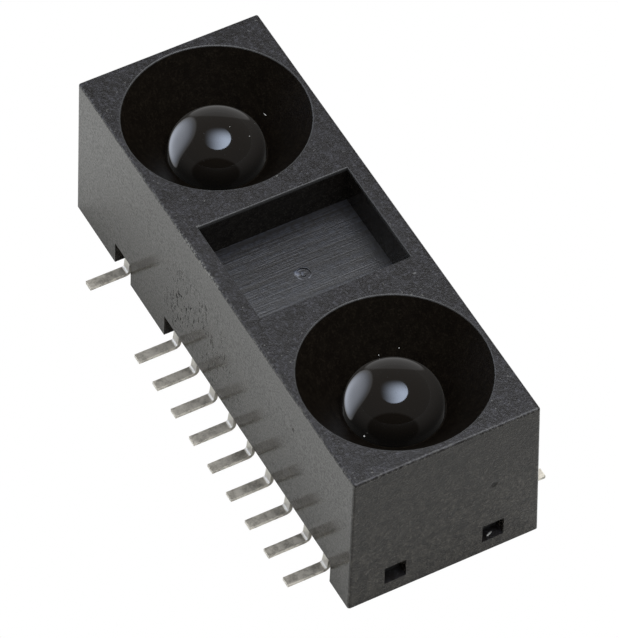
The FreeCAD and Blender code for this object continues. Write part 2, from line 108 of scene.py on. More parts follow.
# Studio: white behind everything for the camera, a dim even light all round, and one large even
# soft box almost straight above, turned with the camera.
ROOM_LIGHT = (0.30, 0.295, 0.28, 1.0)
SOFTBOX_HEIGHT = 0.30
SOFTBOX_SHIFT = (0.14, 0.17)
SOFTBOX_SIZE = (1.0, 1.15)
SOFTBOX_POWER = 1.50
SOFTBOX_TINT = (0.95, 0.98, 1.04)

world = bpy.data.worlds.new("studio")
bpy.context.scene.world = world
tree, surface = new_tree(world, "ShaderNodeOutputWorld")
seen = add(tree, "LightPath", output="Is Camera Ray")
around = add(tree, "Mix", {0: seen, 6: ROOM_LIGHT, 7: PLAIN_WHITE}, output=2, data_type="RGBA")
tree.links.new(add(tree, "Background", {"Color": around}), surface)
world.cycles_visibility.glossy = False


def hang(name, power, turn=0.0):
    """An area light that the camera doesn't see, turned about the upright axis."""
    light = bpy.data.objects.new(name, bpy.data.lights.new(name, "AREA"))
    light.data.energy = power
    light.rotation_euler = (0, 0, turn)
    light.visible_camera = False
    bpy.context.scene.collection.objects.link(light)
    return light


def overhead(light, shape, size, shift, colour):
    """Sets a light at the soft box's height, with its size and shift as shares of that height."""
    light.data.shape = shape
    light.data.size, light.data.size_y = [share * SOFTBOX_HEIGHT for share in size]
    light.data.color = colour
    light.location = [share * SOFTBOX_HEIGHT for share in shift] + [SOFTBOX_HEIGHT]


softbox = hang("softbox", SOFTBOX_POWER, CAMERA_AZIMUTH)
overhead(softbox, "RECTANGLE", SOFTBOX_SIZE, SOFTBOX_SHIFT, SOFTBOX_TINT)

# Under light: a weak narrow light straight below, for views of the underside. The floor doesn't
# stop it, and from above the case hides it.
UNDER_DEPTH = 0.25
UNDER_SIZE = 0.12
UNDER_POWER = 0.03
UNDER_SPREAD = math.radians(24)

under = hang("under_light", UNDER_POWER)
under.data.size = UNDER_SIZE
under.data.spread = UNDER_SPREAD
under.location = (0, 0, -UNDER_DEPTH)
under.rotation_euler = (math.pi, 0, 0)

# Core: the bright middle of the soft box, an oval that fades towards one side and one end. Only
# the lenses are polished enough to mirror it.
CORE_SHIFT = (-0.25, 0.14)
CORE_SIZE = (0.82, 0.94)
CORE_POWER = 1.16
CORE_TINT = (0.87, 1.01, 1.27)
CORE_TURN = math.radians(65)
# where its edges reach full strength, as shares of its width and length
CORE_FULL_ACROSS = 0.85
CORE_FULL_ALONG = 0.35

core = hang("softbox_core", CORE_POWER, CORE_TURN)
overhead(core, "ELLIPSE", CORE_SIZE, CORE_SHIFT, CORE_TINT)
core.data.use_nodes = True
tree = core.data.node_tree
tree.nodes.clear()
spread = add(tree, "NewGeometry", output="Parametric")
across = add(tree, "SeparateXYZ", {"Vector": spread}, output="X")
along = add(tree, "SeparateXYZ", {"Vector": spread}, output="Y")
soft_across = add(
    tree, "MapRange", {"Value": across, "From Min": 0.0, "From Max": CORE_FULL_ACROSS},
    interpolation_type="SMOOTHSTEP")
soft_along = add(
    tree, "MapRange", {"Value": along, "From Min": 1.0, "From Max": CORE_FULL_ALONG},
    interpolation_type="SMOOTHSTEP")
strength = add(tree, "Math", {0: soft_across, 1: soft_along}, operation="MULTIPLY")
tree.links.new(
    add(tree, "Emission", {"Strength": strength}),
    tree.nodes.new("ShaderNodeOutputLight").inputs["Surface"])

# Ceiling: the pale ceiling round the soft box, which lights the tin plate of the leads. It is broad
# and even, so the plate stays grey from every side.
CEILING_SIZE = (3.0, 3.0)
CEILING_POWER = 3.1
CEILING_SHIFT = (-0.3, 1.12)
CEILING_TINT = (1.0, 0.99, 0.96)

ceiling = hang("ceiling", CEILING_POWER)
overhead(ceiling, "RECTANGLE", CEILING_SIZE, CEILING_SHIFT, CEILING_TINT)

# Rooms: what glossy surfaces mirror, a grey room with a white screen on the sensor's left and a
# paler wall beside it. The lenses have a room of their own, with the dark photographer in it too,
# because their outer ring mirrors it down past the edge of the cones.
LENS_ROOM_RADIUS = 0.6
CASE_ROOM_RADIUS = 0.63
ROOM_WARM = (0.98, 0.97, 0.95, 1.0)
SCREEN_COOL = (0.91, 0.98, 1.13, 1.0)
ROOM_GREY = 0.19
ROOM_LOW = 0.045
# the heights, as sines, between which the room goes from its low grey to its full one
ROOM_FOOT = -0.75
ROOM_HEAD = 0.45
# the brightness at which the light starts to turn cool, and where it is cool
COOL_FROM = 0.25
COOL_FULL = 1.2
# azimuth, half width and half height in degrees, where the edge starts and ends as a share of
# them, brightness
SCREENS = (
    (-120, 24, 27, 0.80, 1.15, 0.38),
    (-60, 35, 46, 0.85, 1.12, 0.75),
    (-60, 34, 44, 0.0, 1.0, 2.7),
)
PHOTOGRAPHER = (60, 52, 60, 0.70, 1.20, 0.03)
# what lies behind a field's plane is kept this far in front of it
JUST_AHEAD = 0.001


def room_look(name, fields):
    """Light that comes from a sphere round the sensor, with its brighter and darker fields."""
    look = bpy.data.materials.new(name)
    tree, surface = new_tree(look, "ShaderNodeOutputMaterial")
    spot = add(tree, "TexCoord", output="Object")
    sight = add(tree, "VectorMath", {0: spot}, operation="NORMALIZE")
    height = add(tree, "SeparateXYZ", {"Vector": sight}, output="Z")
    bright = add(
        tree, "MapRange",
        {"Value": height, "From Min": ROOM_FOOT, "From Max": ROOM_HEAD,
         "To Min": ROOM_LOW, "To Max": ROOM_GREY},
        interpolation_type="SMOOTHSTEP")
    for azimuth, half_width, half_height, inner, outer, brightness in fields:
        turn = Matrix.Rotation(math.radians(azimuth), 3, "Z")
        right, ahead, up = [turn @ Vector(axis) for axis in ((1, 0, 0), (0, -1, 0), (0, 0, 1))]
        depth = add(
            tree, "VectorMath", {0: sight, 1: ahead}, output="Value", operation="DOT_PRODUCT")
        depth = add(tree, "Math", {0: depth, 1: JUST_AHEAD}, operation="MAXIMUM")
        squares = []
        for axis, half in ((right, half_width), (up, half_height)):
            edge = math.tan(math.radians(half))
            share = add(
                tree, "VectorMath", {0: sight, 1: axis}, output="Value", operation="DOT_PRODUCT")
            share = add(tree, "Math", {0: share, 1: depth}, operation="DIVIDE")
            share = add(tree, "Math", {0: share, 1: edge}, operation="DIVIDE")
            squares.append(add(tree, "Math", {0: share, 1: share}, operation="MULTIPLY"))
        square = add(tree, "Math", {0: squares[0], 1: squares[1]}, operation="ADD")
        inside = add(
            tree, "MapRange",
            {"Value": square, "From Min": inner, "From Max": outer, "To Min": 1.0, "To Max": 0.0},
            interpolation_type="SMOOTHSTEP")
        bright = add(tree, "Mix", {0: inside, 2: bright, 3: brightness})
    cool = add(tree, "MapRange", {"Value": bright, "From Min": COOL_FROM, "From Max": COOL_FULL})
    colour = add(tree, "Mix", {0: cool, 6: ROOM_WARM, 7: SCREEN_COOL}, output=2, data_type="RGBA")
    light = add(tree, "Emission", {"Color": colour, "Strength": bright})
    clear = add(tree, "BsdfTransparent")
    tree.links.new(add(tree, "AddShader", {0: light, 1: clear}), surface)
    look.cycles.emission_sampling = "FRONT_BACK"
    return look


def add_room(name, radius, fields):
    """A sphere of light round the sensor that only glossy surfaces see."""
    bpy.ops.mesh.primitive_uv_sphere_add(segments=48, ring_count=24, radius=radius)
    room = bpy.context.active_object
    room.name = name
    room.visible_camera = False
    room.visible_diffuse = False
    room.visible_shadow = False
    room.visible_transmission = False
    room.data.materials.append(room_look(name, fields))
    return room


lens_room = add_room("lens_room", LENS_ROOM_RADIUS, SCREENS + (PHOTOGRAPHER,))
case_room = add_room("case_room", CASE_ROOM_RADIUS, SCREENS)
bpy.context.scene.view_settings.view_transform = "Standard"

# Case: one black glass-filled moulding. Its outside is finely grained and a little scuffed, the
# cones are a dead black, and the recess's floor keeps the lines of the cutter that made the mould.


def new_look(name):
    """A material with its tree and shader, and the place on the piece in millimetres."""
    look = bpy.data.materials.new(name)
    tree, surface = new_tree(look, "ShaderNodeOutputMaterial")
    shader = tree.nodes.new("ShaderNodeBsdfPrincipled")
    tree.links.new(shader.outputs[0], surface)
    metres = add(tree, "TexCoord", output="Object")
    place = add(tree, "VectorMath", {0: metres, "Scale": 1 / MM}, operation="SCALE")
    return look, tree, shader, place


def parts_of(tree, vector):
    """The three numbers of a vector."""
    split = tree.nodes.new("ShaderNodeSeparateXYZ")
    tree.links.new(vector, split.inputs[0])
    return split.outputs


def calc(tree, operation, first, second=0.0):
    """One sum on two numbers."""
    return add(tree, "Math", {0: first, 1: second}, operation=operation)


def rise(tree, number, low, high):
    """Goes smoothly from 0 below the low number to 1 above the high one."""
    return add(
        tree, "MapRange", {"Value": number, "From Min": low, "From Max": high},
        interpolation_type="SMOOTHSTEP")


def fall(tree, number, low, high):
    """Goes smoothly from 1 below the low number to 0 above the high one."""
    return add(
        tree, "MapRange",
        {"Value": number, "From Min": low, "From Max": high, "To Min": 1.0, "To Max": 0.0},
        interpolation_type="SMOOTHSTEP")


def across_floor(tree, along, aside):
    """How far a place lies from an upright axis, from its two distances along the floor."""
    square = add(
        tree, "Math", {0: along, 1: along, 2: calc(tree, "MULTIPLY", aside, aside)},
        operation="MULTIPLY_ADD")
    return calc(tree, "SQRT", square)


def near(tree, number, middle, reach):
    """1 at the middle number, falling smoothly to 0 at the reach on both sides."""
    off = calc(tree, "ABSOLUTE", calc(tree, "SUBTRACT", number, middle))
    return fall(tree, off, 0.0, reach)


def both(tree, *masks):
    """Where all the masks hold."""
    result = masks[0]
    for mask in masks[1:]:
        result = calc(tree, "MULTIPLY", result, mask)
    return result


def tint(tree, mask, under, over):
    """One colour laid over another through a mask."""
    return add(tree, "Mix", {0: mask, 6: under, 7: over}, output=2, data_type="RGBA")


def level(tree, mask, under, over):
    """One number laid over another through a mask."""
    return add(tree, "Mix", {0: mask, 2: under, 3: over})


def distance(tree, place, spot):
    """How far each place lies from one spot."""
    return add(tree, "VectorMath", {0: place, 1: spot}, output="Value", operation="DISTANCE")


def grain(tree, place, scale, detail=2.0, roughness=0.5, stretch=(1.0, 1.0, 1.0)):
    """Random clouds with so many to the millimetre."""
    stretched = add(tree, "VectorMath", {0: place, 1: stretch}, operation="MULTIPLY")
    return add(
        tree, "TexNoise",
        {"Vector": stretched, "Scale": scale, "Detail": detail, "Roughness": roughness})


def dress(node, look):
    """Gives a CAD node its material."""
    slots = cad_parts[node].data.materials
    slots.clear()
    slots.append(look)


# lengths in the materials are in millimetres on the piece
CASE_BLACK = (0.0075, 0.0064, 0.0056, 1.0)
CASE_PALE = (0.035, 0.0345, 0.040, 1.0)
SIDE_PALE = (0.047, 0.043, 0.037, 1.0)
CONE_BLACK = (0.0034, 0.0025, 0.0018, 1.0)
CONE_PALE = (0.0088, 0.0068, 0.0046, 1.0)
CONE_CENTRE_X = 6.95
RIM_RADIUS = 3.65
CONE_BOTTOM = 5.12
TOP = 7.2
RECESS_FLOOR = 5.4
RECESS_END = 2.45
RECESS_SIDE = 3.15
# the normal's part along an axis, from where a face starts to count as facing that way
FACING = (0.7, 0.9)

case_look, tree, shader, place = new_look("case_black")
x, y, z = parts_of(tree, place)
normal = parts_of(tree, add(tree, "TexCoord", output="Normal"))
ax = calc(tree, "ABSOLUTE", x)
ay = calc(tree, "ABSOLUTE", y)
off_x = calc(tree, "SUBTRACT", ax, CONE_CENTRE_X)
from_axis = across_floor(tree, off_x, y)
cone = both(
    tree,
    fall(tree, from_axis, RIM_RADIUS + 0.01, RIM_RADIUS + 0.04),
    rise(tree, z, CONE_BOTTOM - 0.1, CONE_BOTTOM),
    fall(tree, z, TOP - 0.05, TOP - 0.02),
)
in_recess = both(
    tree, fall(tree, ax, RECESS_END + 0.15, RECESS_END + 0.25),
    fall(tree, ay, RECESS_SIDE + 0.15, RECESS_SIDE + 0.25))
at_floor = near(tree, z, RECESS_FLOOR, 0.3)
recess_floor = both(tree, at_floor, in_recess, rise(tree, normal[2], *FACING))
end_wall = both(
    tree, in_recess, fall(tree, z, TOP - 0.15, TOP - 0.08),
    rise(tree, calc(tree, "ABSOLUTE", normal[0]), *FACING))

# the outside's upright walls, and the rounded edges of the cones and the recess
inner_edge = both(
    tree, fall(tree, ay, 3.70, 3.75), fall(tree, ax, 10.70, 10.75),
    rise(tree, z, TOP - 0.20, TOP - 0.12))
side = both(tree, fall(tree, normal[2], 0.3, 0.7), calc(tree, "SUBTRACT", 1.0, inner_edge))
long_side = both(tree, side, rise(tree, calc(tree, "ABSOLUTE", normal[1]), *FACING))

# the grain: fine points, larger flecks and slow clouds, with more dust low on the sides
DUST_AT_FOOT = 1.45
DUST_AT_TOP = 0.55
BROAD_SHARE = 0.25

fine = grain(tree, place, 13.0, 3.0, 0.65)
flecks = grain(tree, place, 5.0, 3.0, 0.6)
clouds = rise(tree, grain(tree, place, 0.55, 3.0, 0.5), 0.35, 0.65)
mottle = calc(tree, "MULTIPLY", rise(tree, fine, 0.42, 0.66), rise(tree, flecks, 0.36, 0.66))
broad = rise(tree, grain(tree, place, 2.2, 3.0, 0.6), 0.35, 0.7)
mottle = calc(tree, "ADD", mottle, calc(tree, "MULTIPLY", broad, BROAD_SHARE))
dust = add(
    tree, "MapRange",
    {"Value": z, "From Max": TOP, "To Min": DUST_AT_FOOT, "To Max": DUST_AT_TOP})
dusty = level(tree, side, mottle, calc(tree, "MULTIPLY", mottle, dust))
base = tint(tree, dusty, CASE_BLACK, tint(tree, side, CASE_PALE, SIDE_PALE))

# lines that the cutter left across the recess's floor, which mirrors less towards the far end
FLOOR_BLUE = (0.024, 0.026, 0.033, 1.0)
FAR_GLINT = 0.4
NEAR_GLINT = 1.0

lines = grain(tree, place, 1.0, 2.0, 0.6, stretch=(15.0, 0.30, 1.0))
lines = rise(tree, lines, 0.25, 0.75)
floor_glint = add(
    tree, "MapRange",
    {"Value": x, "From Min": -RECESS_END, "From Max": RECESS_END,
     "To Min": FAR_GLINT, "To Max": NEAR_GLINT})
base = tint(
    tree, recess_floor, base,
    tint(tree, both(tree, lines, rise(tree, flecks, 0.2, 0.7)), CASE_BLACK, FLOOR_BLUE))

# the gate's mark in its middle: a torn ring round half a stub, and a blob beside them,
# all painted pale as a highlight
GATE_HIGHLIGHT = (0.10, 0.11, 0.14, 1.0)
GATE_RADIUS = 0.27
GATE_WIDTH = 0.07
GATE_SHARE = 0.45
STUB_EDGE = (0.09, 0.15)
STUB_CUT = (-0.05, 0.08)
HIGHLIGHT_BLOB = (-0.12, -0.21, RECESS_FLOOR)
HIGHLIGHT_BLOB_EDGE = (0.05, 0.16)

from_gate = across_floor(tree, x, y)
stub = both(
    tree, fall(tree, from_gate, *STUB_EDGE), fall(tree, calc(tree, "ADD", x, y), *STUB_CUT))
gate_and_highlight = calc(tree, "MAXIMUM", near(tree, from_gate, GATE_RADIUS, GATE_WIDTH), stub)
gate_and_highlight = both(tree, gate_and_highlight, at_floor, rise(tree, flecks, 0.38, 0.58))
highlight_blob = fall(tree, distance(tree, place, HIGHLIGHT_BLOB), *HIGHLIGHT_BLOB_EDGE)
gate_and_highlight = calc(tree, "MAXIMUM", calc(tree, "MULTIPLY", gate_and_highlight, GATE_SHARE), highlight_blob)
# the gate's mark laid on in pale: a painted highlight
base = tint(tree, gate_and_highlight, base, GATE_HIGHLIGHT)

# pits and short scratches rubbed into the left side, above the first leads of the row, and a few
# stray pits, each with its place and size
PIT_BLACK = (0.006, 0.006, 0.006, 1.0)
LEFT_SIDE = (-3.8, -3.7)
PITS_X = -0.6
PITS_Z = 3.1
PITS_REACH_X = 4.4
PITS_REACH_Z = 3.2
STRAY_PITS = (((6.44, -3.9, 5.5), 0.10), ((10.95, 2.0, 3.9), 0.15), ((10.95, 1.2, 2.2), 0.05))
STRAY_SHARE = 0.6

pit_field = both(
    tree, fall(tree, y, *LEFT_SIDE), near(tree, x, PITS_X, PITS_REACH_X),
    near(tree, z, PITS_Z, PITS_REACH_Z))
pits = grain(tree, place, 2.0, 3.0, 0.7, stretch=(5.0, 1.0, 1.4))
groups = rise(tree, grain(tree, place, 0.9, 1.0), 0.36, 0.6)
pits = both(
    tree, rise(tree, pits, 0.55, 0.66), rise(tree, pit_field, 0.05, 0.4), groups,
    rise(tree, flecks, 0.1, 0.58))
for spot, reach in STRAY_PITS:
    stray = fall(tree, distance(tree, place, spot), reach * 0.4, reach * 1.4)
    pits = calc(tree, "MAXIMUM", pits, calc(tree, "MULTIPLY", stray, STRAY_SHARE))
base = tint(tree, pits, base, PIT_BLACK)

# worn points along the top's left edge, most of them round its middle, and fewer along the near
# edge and on the top
SCRAPED = (0.30, 0.30, 0.28, 1.0)
LONG_EDGE_Y = -3.88
END_X = 10.74
MOST_WORN_X = -1.0
MOST_WORN_REACH = 3.4
LEAST_WORN = 0.35
EDGE_SHARE = 0.8
END_SHARE = 0.15
TOP_SHARE = 0.22

worn = grain(tree, place, 9.0, 3.0, 0.65)
long_edge = both(
    tree, rise(tree, z, TOP - 0.16, TOP - 0.06), near(tree, y, LONG_EDGE_Y, 0.18),
    level(tree, near(tree, x, MOST_WORN_X, MOST_WORN_REACH), LEAST_WORN, 1.0))
end_edge = both(tree, rise(tree, z, TOP - 0.2, TOP - 0.06), rise(tree, x, END_X, END_X + 0.1))
edges = calc(tree, "MAXIMUM", long_edge, calc(tree, "MULTIPLY", end_edge, END_SHARE))
worn = both(tree, rise(tree, worn, 0.48, 0.60), edges)
strays = both(
    tree, rise(tree, grain(tree, place, 7.0, 1.0, 0.5), 0.72, 0.78),
    rise(tree, z, TOP - 0.05, TOP - 0.02))
worn = calc(
    tree, "MAXIMUM", calc(tree, "MULTIPLY", worn, EDGE_SHARE),
    calc(tree, "MULTIPLY", strays, TOP_SHARE))
base = tint(tree, worn, base, SCRAPED)

# the rounded inner edges are painted a paler grey as a highlight, and the recess's two end walls
# get painted shade, darker than its floor
EDGE_HIGHLIGHT_GREY = (0.045, 0.045, 0.045, 1.0)
END_WALL_SHADE = 0.4

# painted highlight along the rounded inner edges
base = tint(tree, both(tree, inner_edge, fall(tree, normal[2], 0.93, 0.99)), base, EDGE_HIGHLIGHT_GREY)
# painted shade on the recess's two end walls
base = tint(tree, calc(tree, "MULTIPLY", end_wall, END_WALL_SHADE), base, CONE_BLACK)
base = tint(tree, cone, base, tint(tree, mottle, CONE_BLACK, CONE_PALE))
tree.links.new(base, shader.inputs["Base Color"])

# the outside is smoother than the top, and its long sides mirror the leads: roughness on the top
# and the sides, first in the smooth clouds, then in the rough ones, then at the points
CLEAN_ROUGH = (0.28, 0.09)
CLOUD_ROUGH = (0.34, 0.12)
POINT_ROUGH = (0.43, 0.24)
LONG_SIDE_ROUGH = (0.045, 0.065)
CUT_ROUGH = 0.30
PIT_ROUGH = 0.4
CONE_ROUGH = 0.42

rough = level(
    tree, clouds, level(tree, side, *CLEAN_ROUGH), level(tree, side, *CLOUD_ROUGH))
points = calc(tree, "MULTIPLY", rise(tree, fine, 0.3, 0.7), level(tree, side, 0.5, 0.3))
rough = level(tree, points, rough, level(tree, side, *POINT_ROUGH))
rough = level(tree, long_side, rough, level(tree, clouds, *LONG_SIDE_ROUGH))
cut_lines = calc(tree, "MULTIPLY", recess_floor, lines)
rough = level(tree, cut_lines, rough, CUT_ROUGH)
rough = level(tree, pits, rough, PIT_ROUGH)
rough = level(tree, cone, rough, CONE_ROUGH)
tree.links.new(rough, shader.inputs["Roughness"])

# how strongly it mirrors: on the top and the sides, in patches on the long sides, in the cones
GLINT = (0.33, 0.13)
LONG_SIDE_GLINT = (0.10, 0.30)
CONE_GLINT = 0.02
END_WALL_DULL = 0.5

glint = level(tree, rise(tree, fine, 0.36, 0.64), *LONG_SIDE_GLINT)
glint = level(tree, long_side, level(tree, side, *GLINT), glint)
dull = calc(tree, "MAXIMUM", pits, calc(tree, "MULTIPLY", end_wall, END_WALL_DULL))
glint = level(tree, dull, glint, 0.0)
glint = level(tree, cone, level(tree, recess_floor, glint, floor_glint), CONE_GLINT)
tree.links.new(glint, shader.inputs["Specular IOR Level"])

# the relief, which is fainter on the long sides and on the recess's floor
FINE_DEPTH = 0.016
FLECK_DEPTH = 0.012
PIT_DEPTH = 0.03
CUT_DEPTH = 0.004
GATE_HEIGHT = 0.02
LONG_SIDE_RELIEF = 0.22
FLOOR_RELIEF = 0.4
CASE_RELIEF = 0.8

height = calc(
    tree, "ADD", calc(tree, "MULTIPLY", fine, FINE_DEPTH),
    calc(tree, "MULTIPLY", flecks, FLECK_DEPTH))
relief = level(tree, recess_floor, level(tree, long_side, 1.0, LONG_SIDE_RELIEF), FLOOR_RELIEF)
height = calc(tree, "MULTIPLY", height, relief)
height = calc(tree, "SUBTRACT", height, calc(tree, "MULTIPLY", pits, PIT_DEPTH))
height = calc(tree, "ADD", height, calc(tree, "MULTIPLY", cut_lines, CUT_DEPTH))
height = calc(tree, "ADD", height, calc(tree, "MULTIPLY", gate_and_highlight, GATE_HEIGHT))
bump = add(tree, "Bump", {"Strength": CASE_RELIEF, "Distance": MM, "Height": height})
tree.links.new(bump, shader.inputs["Normal"])
dress("housing", case_look)

# Carrier: the moulded block that closes the case from below, of the same plastic but smoother.
# Its latch nubs carry pale lines where the windows show them, painted glints.
CARRIER_BLACK = (0.006, 0.006, 0.006, 1.0)
CARRIER_PALE = (0.018, 0.018, 0.018, 1.0)
GLINT_PALE = (0.42, 0.43, 0.42, 1.0)
CARRIER_ROUGH = (0.30, 0.48)
CARRIER_RELIEF = 0.012 * MM
NUB_START_X = 10.0
# each painted glint line: its middle across and up, its slope in degrees and its length
GLINT_LINES = ((1.88, 1.05, 38, 0.26), (-2.36, 1.25, 80, 0.22))

carrier_look, tree, shader, place = new_look("carrier_black")
fine = grain(tree, place, 9.0, 3.0, 0.6)
clouds = grain(tree, place, 0.8, 2.0)
plastic = tint(tree, fine, CARRIER_BLACK, CARRIER_PALE)
x, y, z = parts_of(tree, place)
glint_lines = None
for middle_y, middle_z, slope, length in GLINT_LINES:
    across = calc(tree, "SUBTRACT", y, middle_y)
    above = calc(tree, "SUBTRACT", z, middle_z)
    ahead, up = math.cos(math.radians(slope)), math.sin(math.radians(slope))
    along = calc(
        tree, "ADD", calc(tree, "MULTIPLY", across, ahead), calc(tree, "MULTIPLY", above, up))
    aside = calc(
        tree, "SUBTRACT", calc(tree, "MULTIPLY", above, ahead),
        calc(tree, "MULTIPLY", across, up))
    mark = both(
        tree, fall(tree, calc(tree, "ABSOLUTE", along), length * 0.4, length * 0.6),
        fall(tree, calc(tree, "ABSOLUTE", aside), 0.015, 0.05),
        rise(tree, x, NUB_START_X, NUB_START_X + 0.05))
    glint_lines = mark if glint_lines is None else calc(tree, "MAXIMUM", glint_lines, mark)
# pale lines on the nubs: painted glints
tree.links.new(tint(tree, glint_lines, plastic, GLINT_PALE), shader.inputs["Base Color"])
tree.links.new(level(tree, clouds, *CARRIER_ROUGH), shader.inputs["Roughness"])
bump = add(tree, "Bump", {"Strength": 0.4, "Distance": CARRIER_RELIEF, "Height": fine})
tree.links.new(bump, shader.inputs["Normal"])
dress("carrier", carrier_look)

# Lenses: each is one casting of dark resin that lets only infrared through. A flattened dome on
# a short stem, with a flange below that seats under the cone.
LENS_RADIUS = 1.85 * MM
DOME_HEIGHT = 1.35 * MM
DOME_FOOT = 5.4 * MM
FLANGE_RADIUS = 2.4 * MM
FLANGE_TOP = 4.35 * MM
FLANGE_BOTTOM = 3.85 * MM
LENS_X = 6.95 * MM
LENS_SEAM = 0.01 * MM
LENS_DARK = (0.0110, 0.0075, 0.0048, 1.0)
LENS_DUST = (0.06, 0.06, 0.06, 1.0)
LENS_ROUGH = (0.045, 0.075)
LENS_DUST_ROUGH = 0.35
LENS_IOR = 1.58

lens_look, tree, shader, place = new_look("lens_dark")
haze = grain(tree, place, 1.2, 3.0)
dust = rise(tree, grain(tree, place, 14.0, 2.0, 0.5), 0.70, 0.76)
resin = tint(tree, calc(tree, "MULTIPLY", dust, 0.25), LENS_DARK, LENS_DUST)
tree.links.new(resin, shader.inputs["Base Color"])
smear = level(tree, haze, *LENS_ROUGH)
tree.links.new(level(tree, dust, smear, LENS_DUST_ROUGH), shader.inputs["Roughness"])
shader.inputs["IOR"].default_value = LENS_IOR


def pick(piece, chosen):
    """Selects, in edit mode, the corners of a piece that pass a test of their place."""
    bpy.ops.mesh.select_mode(type="VERT")
    bpy.ops.mesh.select_all(action="DESELECT")
    bpy.ops.object.mode_set(mode="OBJECT")
    for corner in piece.data.vertices:
        corner.select = chosen(corner.co)
    bpy.ops.object.mode_set(mode="EDIT")


def settle(piece, look, degrees=30):
    """Closes the edit of a piece: faces outward, smooth but for its edges, its material on."""
    bpy.ops.mesh.select_all(action="SELECT")
    bpy.ops.mesh.normals_make_consistent(inside=False)
    bpy.ops.object.mode_set(mode="OBJECT")
    bpy.ops.object.shade_smooth_by_angle(angle=math.radians(degrees))
    piece.data.materials.clear()
    piece.data.materials.append(look)
    piece.select_set(False)


def start(name):
    """Names the primitive that was just added and opens it for editing."""
    piece = bpy.context.active_object
    piece.name = name
    bpy.ops.object.mode_set(mode="EDIT")
    return piece


def make_lens(name, centre):
    """A lens about its own axis, then moved to its cone."""
    bpy.ops.mesh.primitive_uv_sphere_add(segments=128, ring_count=64, radius=LENS_RADIUS)
    piece = start(name)
    bpy.ops.transform.resize(value=(1, 1, DOME_HEIGHT / LENS_RADIUS))
    pick(piece, lambda corner: corner.z < -LENS_SEAM)
    bpy.ops.mesh.delete(type="VERT")
    bpy.ops.mesh.select_all(action="SELECT")
    bpy.ops.transform.translate(value=(0, 0, DOME_FOOT))
    pick(piece, lambda corner: corner.z < DOME_FOOT + LENS_SEAM)
    steps = (
        (1, FLANGE_TOP - DOME_FOOT),
        (FLANGE_RADIUS / LENS_RADIUS, 0),
        (1, FLANGE_BOTTOM - FLANGE_TOP),
    )
    for scale, drop in steps:
        bpy.ops.mesh.extrude_region_move(TRANSFORM_OT_translate={"value": (0, 0, drop)})
        bpy.ops.transform.resize(value=(scale, scale, 1), center_override=(0, 0, 0))
    bpy.ops.mesh.edge_face_add()
    bpy.ops.mesh.select_all(action="SELECT")
    bpy.ops.transform.translate(value=(centre, 0, 0))
    settle(piece, lens_look)
    return piece


for name, node, centre in (
    ("emitter_dome", "emitter_lens", -LENS_X),
    ("detector_dome", "detector_lens", LENS_X),
):
    lens = make_lens(name, centre)
    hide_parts(node)
    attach(lens, "root")
    dress(node, lens_look)

# Lint: a few pale flecks of dust that lie in the cones and on the domes, and one pale fleck in a
# window that is a painted glint. The dust is dirt from handling, as the sensor has in the
# photograph, and not a part of it.
FLECK_RADIUS = 0.5 * MM
FLECK_RAG = 0.08 * MM
LINT_AND_GLINT_GREY = (0.22, 0.22, 0.21, 1.0)
LINT_AND_GLINT_PALE = (0.60, 0.60, 0.57, 1.0)
LINT_AND_GLINT_ROUGH = (0.5, 0.8)
# place and size (length, width, height) in millimetres, and the way that it points in degrees
FLECKS = (
    ((-7.401, 2.337, 5.668), (0.22, 0.07, 0.05), 22),
    ((4.971, 1.308, 5.658), (0.06, 0.05, 0.03), 0),
    ((4.794, 0.522, 5.473), (0.05, 0.04, 0.03), 30),
    ((-6.147, 0.983, 6.382), (0.045, 0.035, 0.03), 20),
    ((-6.653, 0.401, 6.700), (0.035, 0.03, 0.02), 80),
    ((7.86, -1.72, 5.45), (0.07, 0.07, 0.06), 0),
    # this last fleck, on the ledge of a window, is a painted glint and not dust
    ((10.79, 2.03, 0.715), (0.36, 0.08, 0.05), 113),
)

lint_and_glint_look, tree, shader, place = new_look("lint")
fluff_and_glint = tint(tree, grain(tree, place, 18.0), LINT_AND_GLINT_GREY, LINT_AND_GLINT_PALE)
tree.links.new(fluff_and_glint, shader.inputs["Base Color"])
tree.links.new(level(tree, grain(tree, place, 25.0), *LINT_AND_GLINT_ROUGH), shader.inputs["Roughness"])
bpy.ops.mesh.primitive_ico_sphere_add(subdivisions=2, radius=FLECK_RADIUS)
lint = start("lint")
bpy.ops.mesh.delete(type="VERT")
for spot, size, heading in FLECKS:
    bpy.ops.mesh.select_all(action="DESELECT")
    bpy.ops.mesh.primitive_ico_sphere_add(subdivisions=2, radius=FLECK_RADIUS)
    bpy.ops.transform.vertex_random(offset=FLECK_RAG, seed=int(heading) + 1)
    bpy.ops.transform.resize(value=size)
    bpy.ops.transform.rotate(
        value=-math.radians(heading), orient_axis="Z", center_override=(0, 0, 0))
    bpy.ops.transform.translate(value=Vector(spot) * MM)
settle(lint, lint_and_glint_look, 60)
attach(lint, "root")

# Flash: a thin uneven ridge of the case's own plastic, under the lower edge of each end. It
# squeezed out where the two halves of the mould met, and nobody trimmed it.
FLASH_X = 10.93 * MM
FLASH_LENGTH = 7.5 * MM
FLASH_TOP = 0.13 * MM
FLASH_FOOT = 0.055 * MM
FLASH_THICK = 0.05 * MM
FLASH_RAG = 0.035 * MM

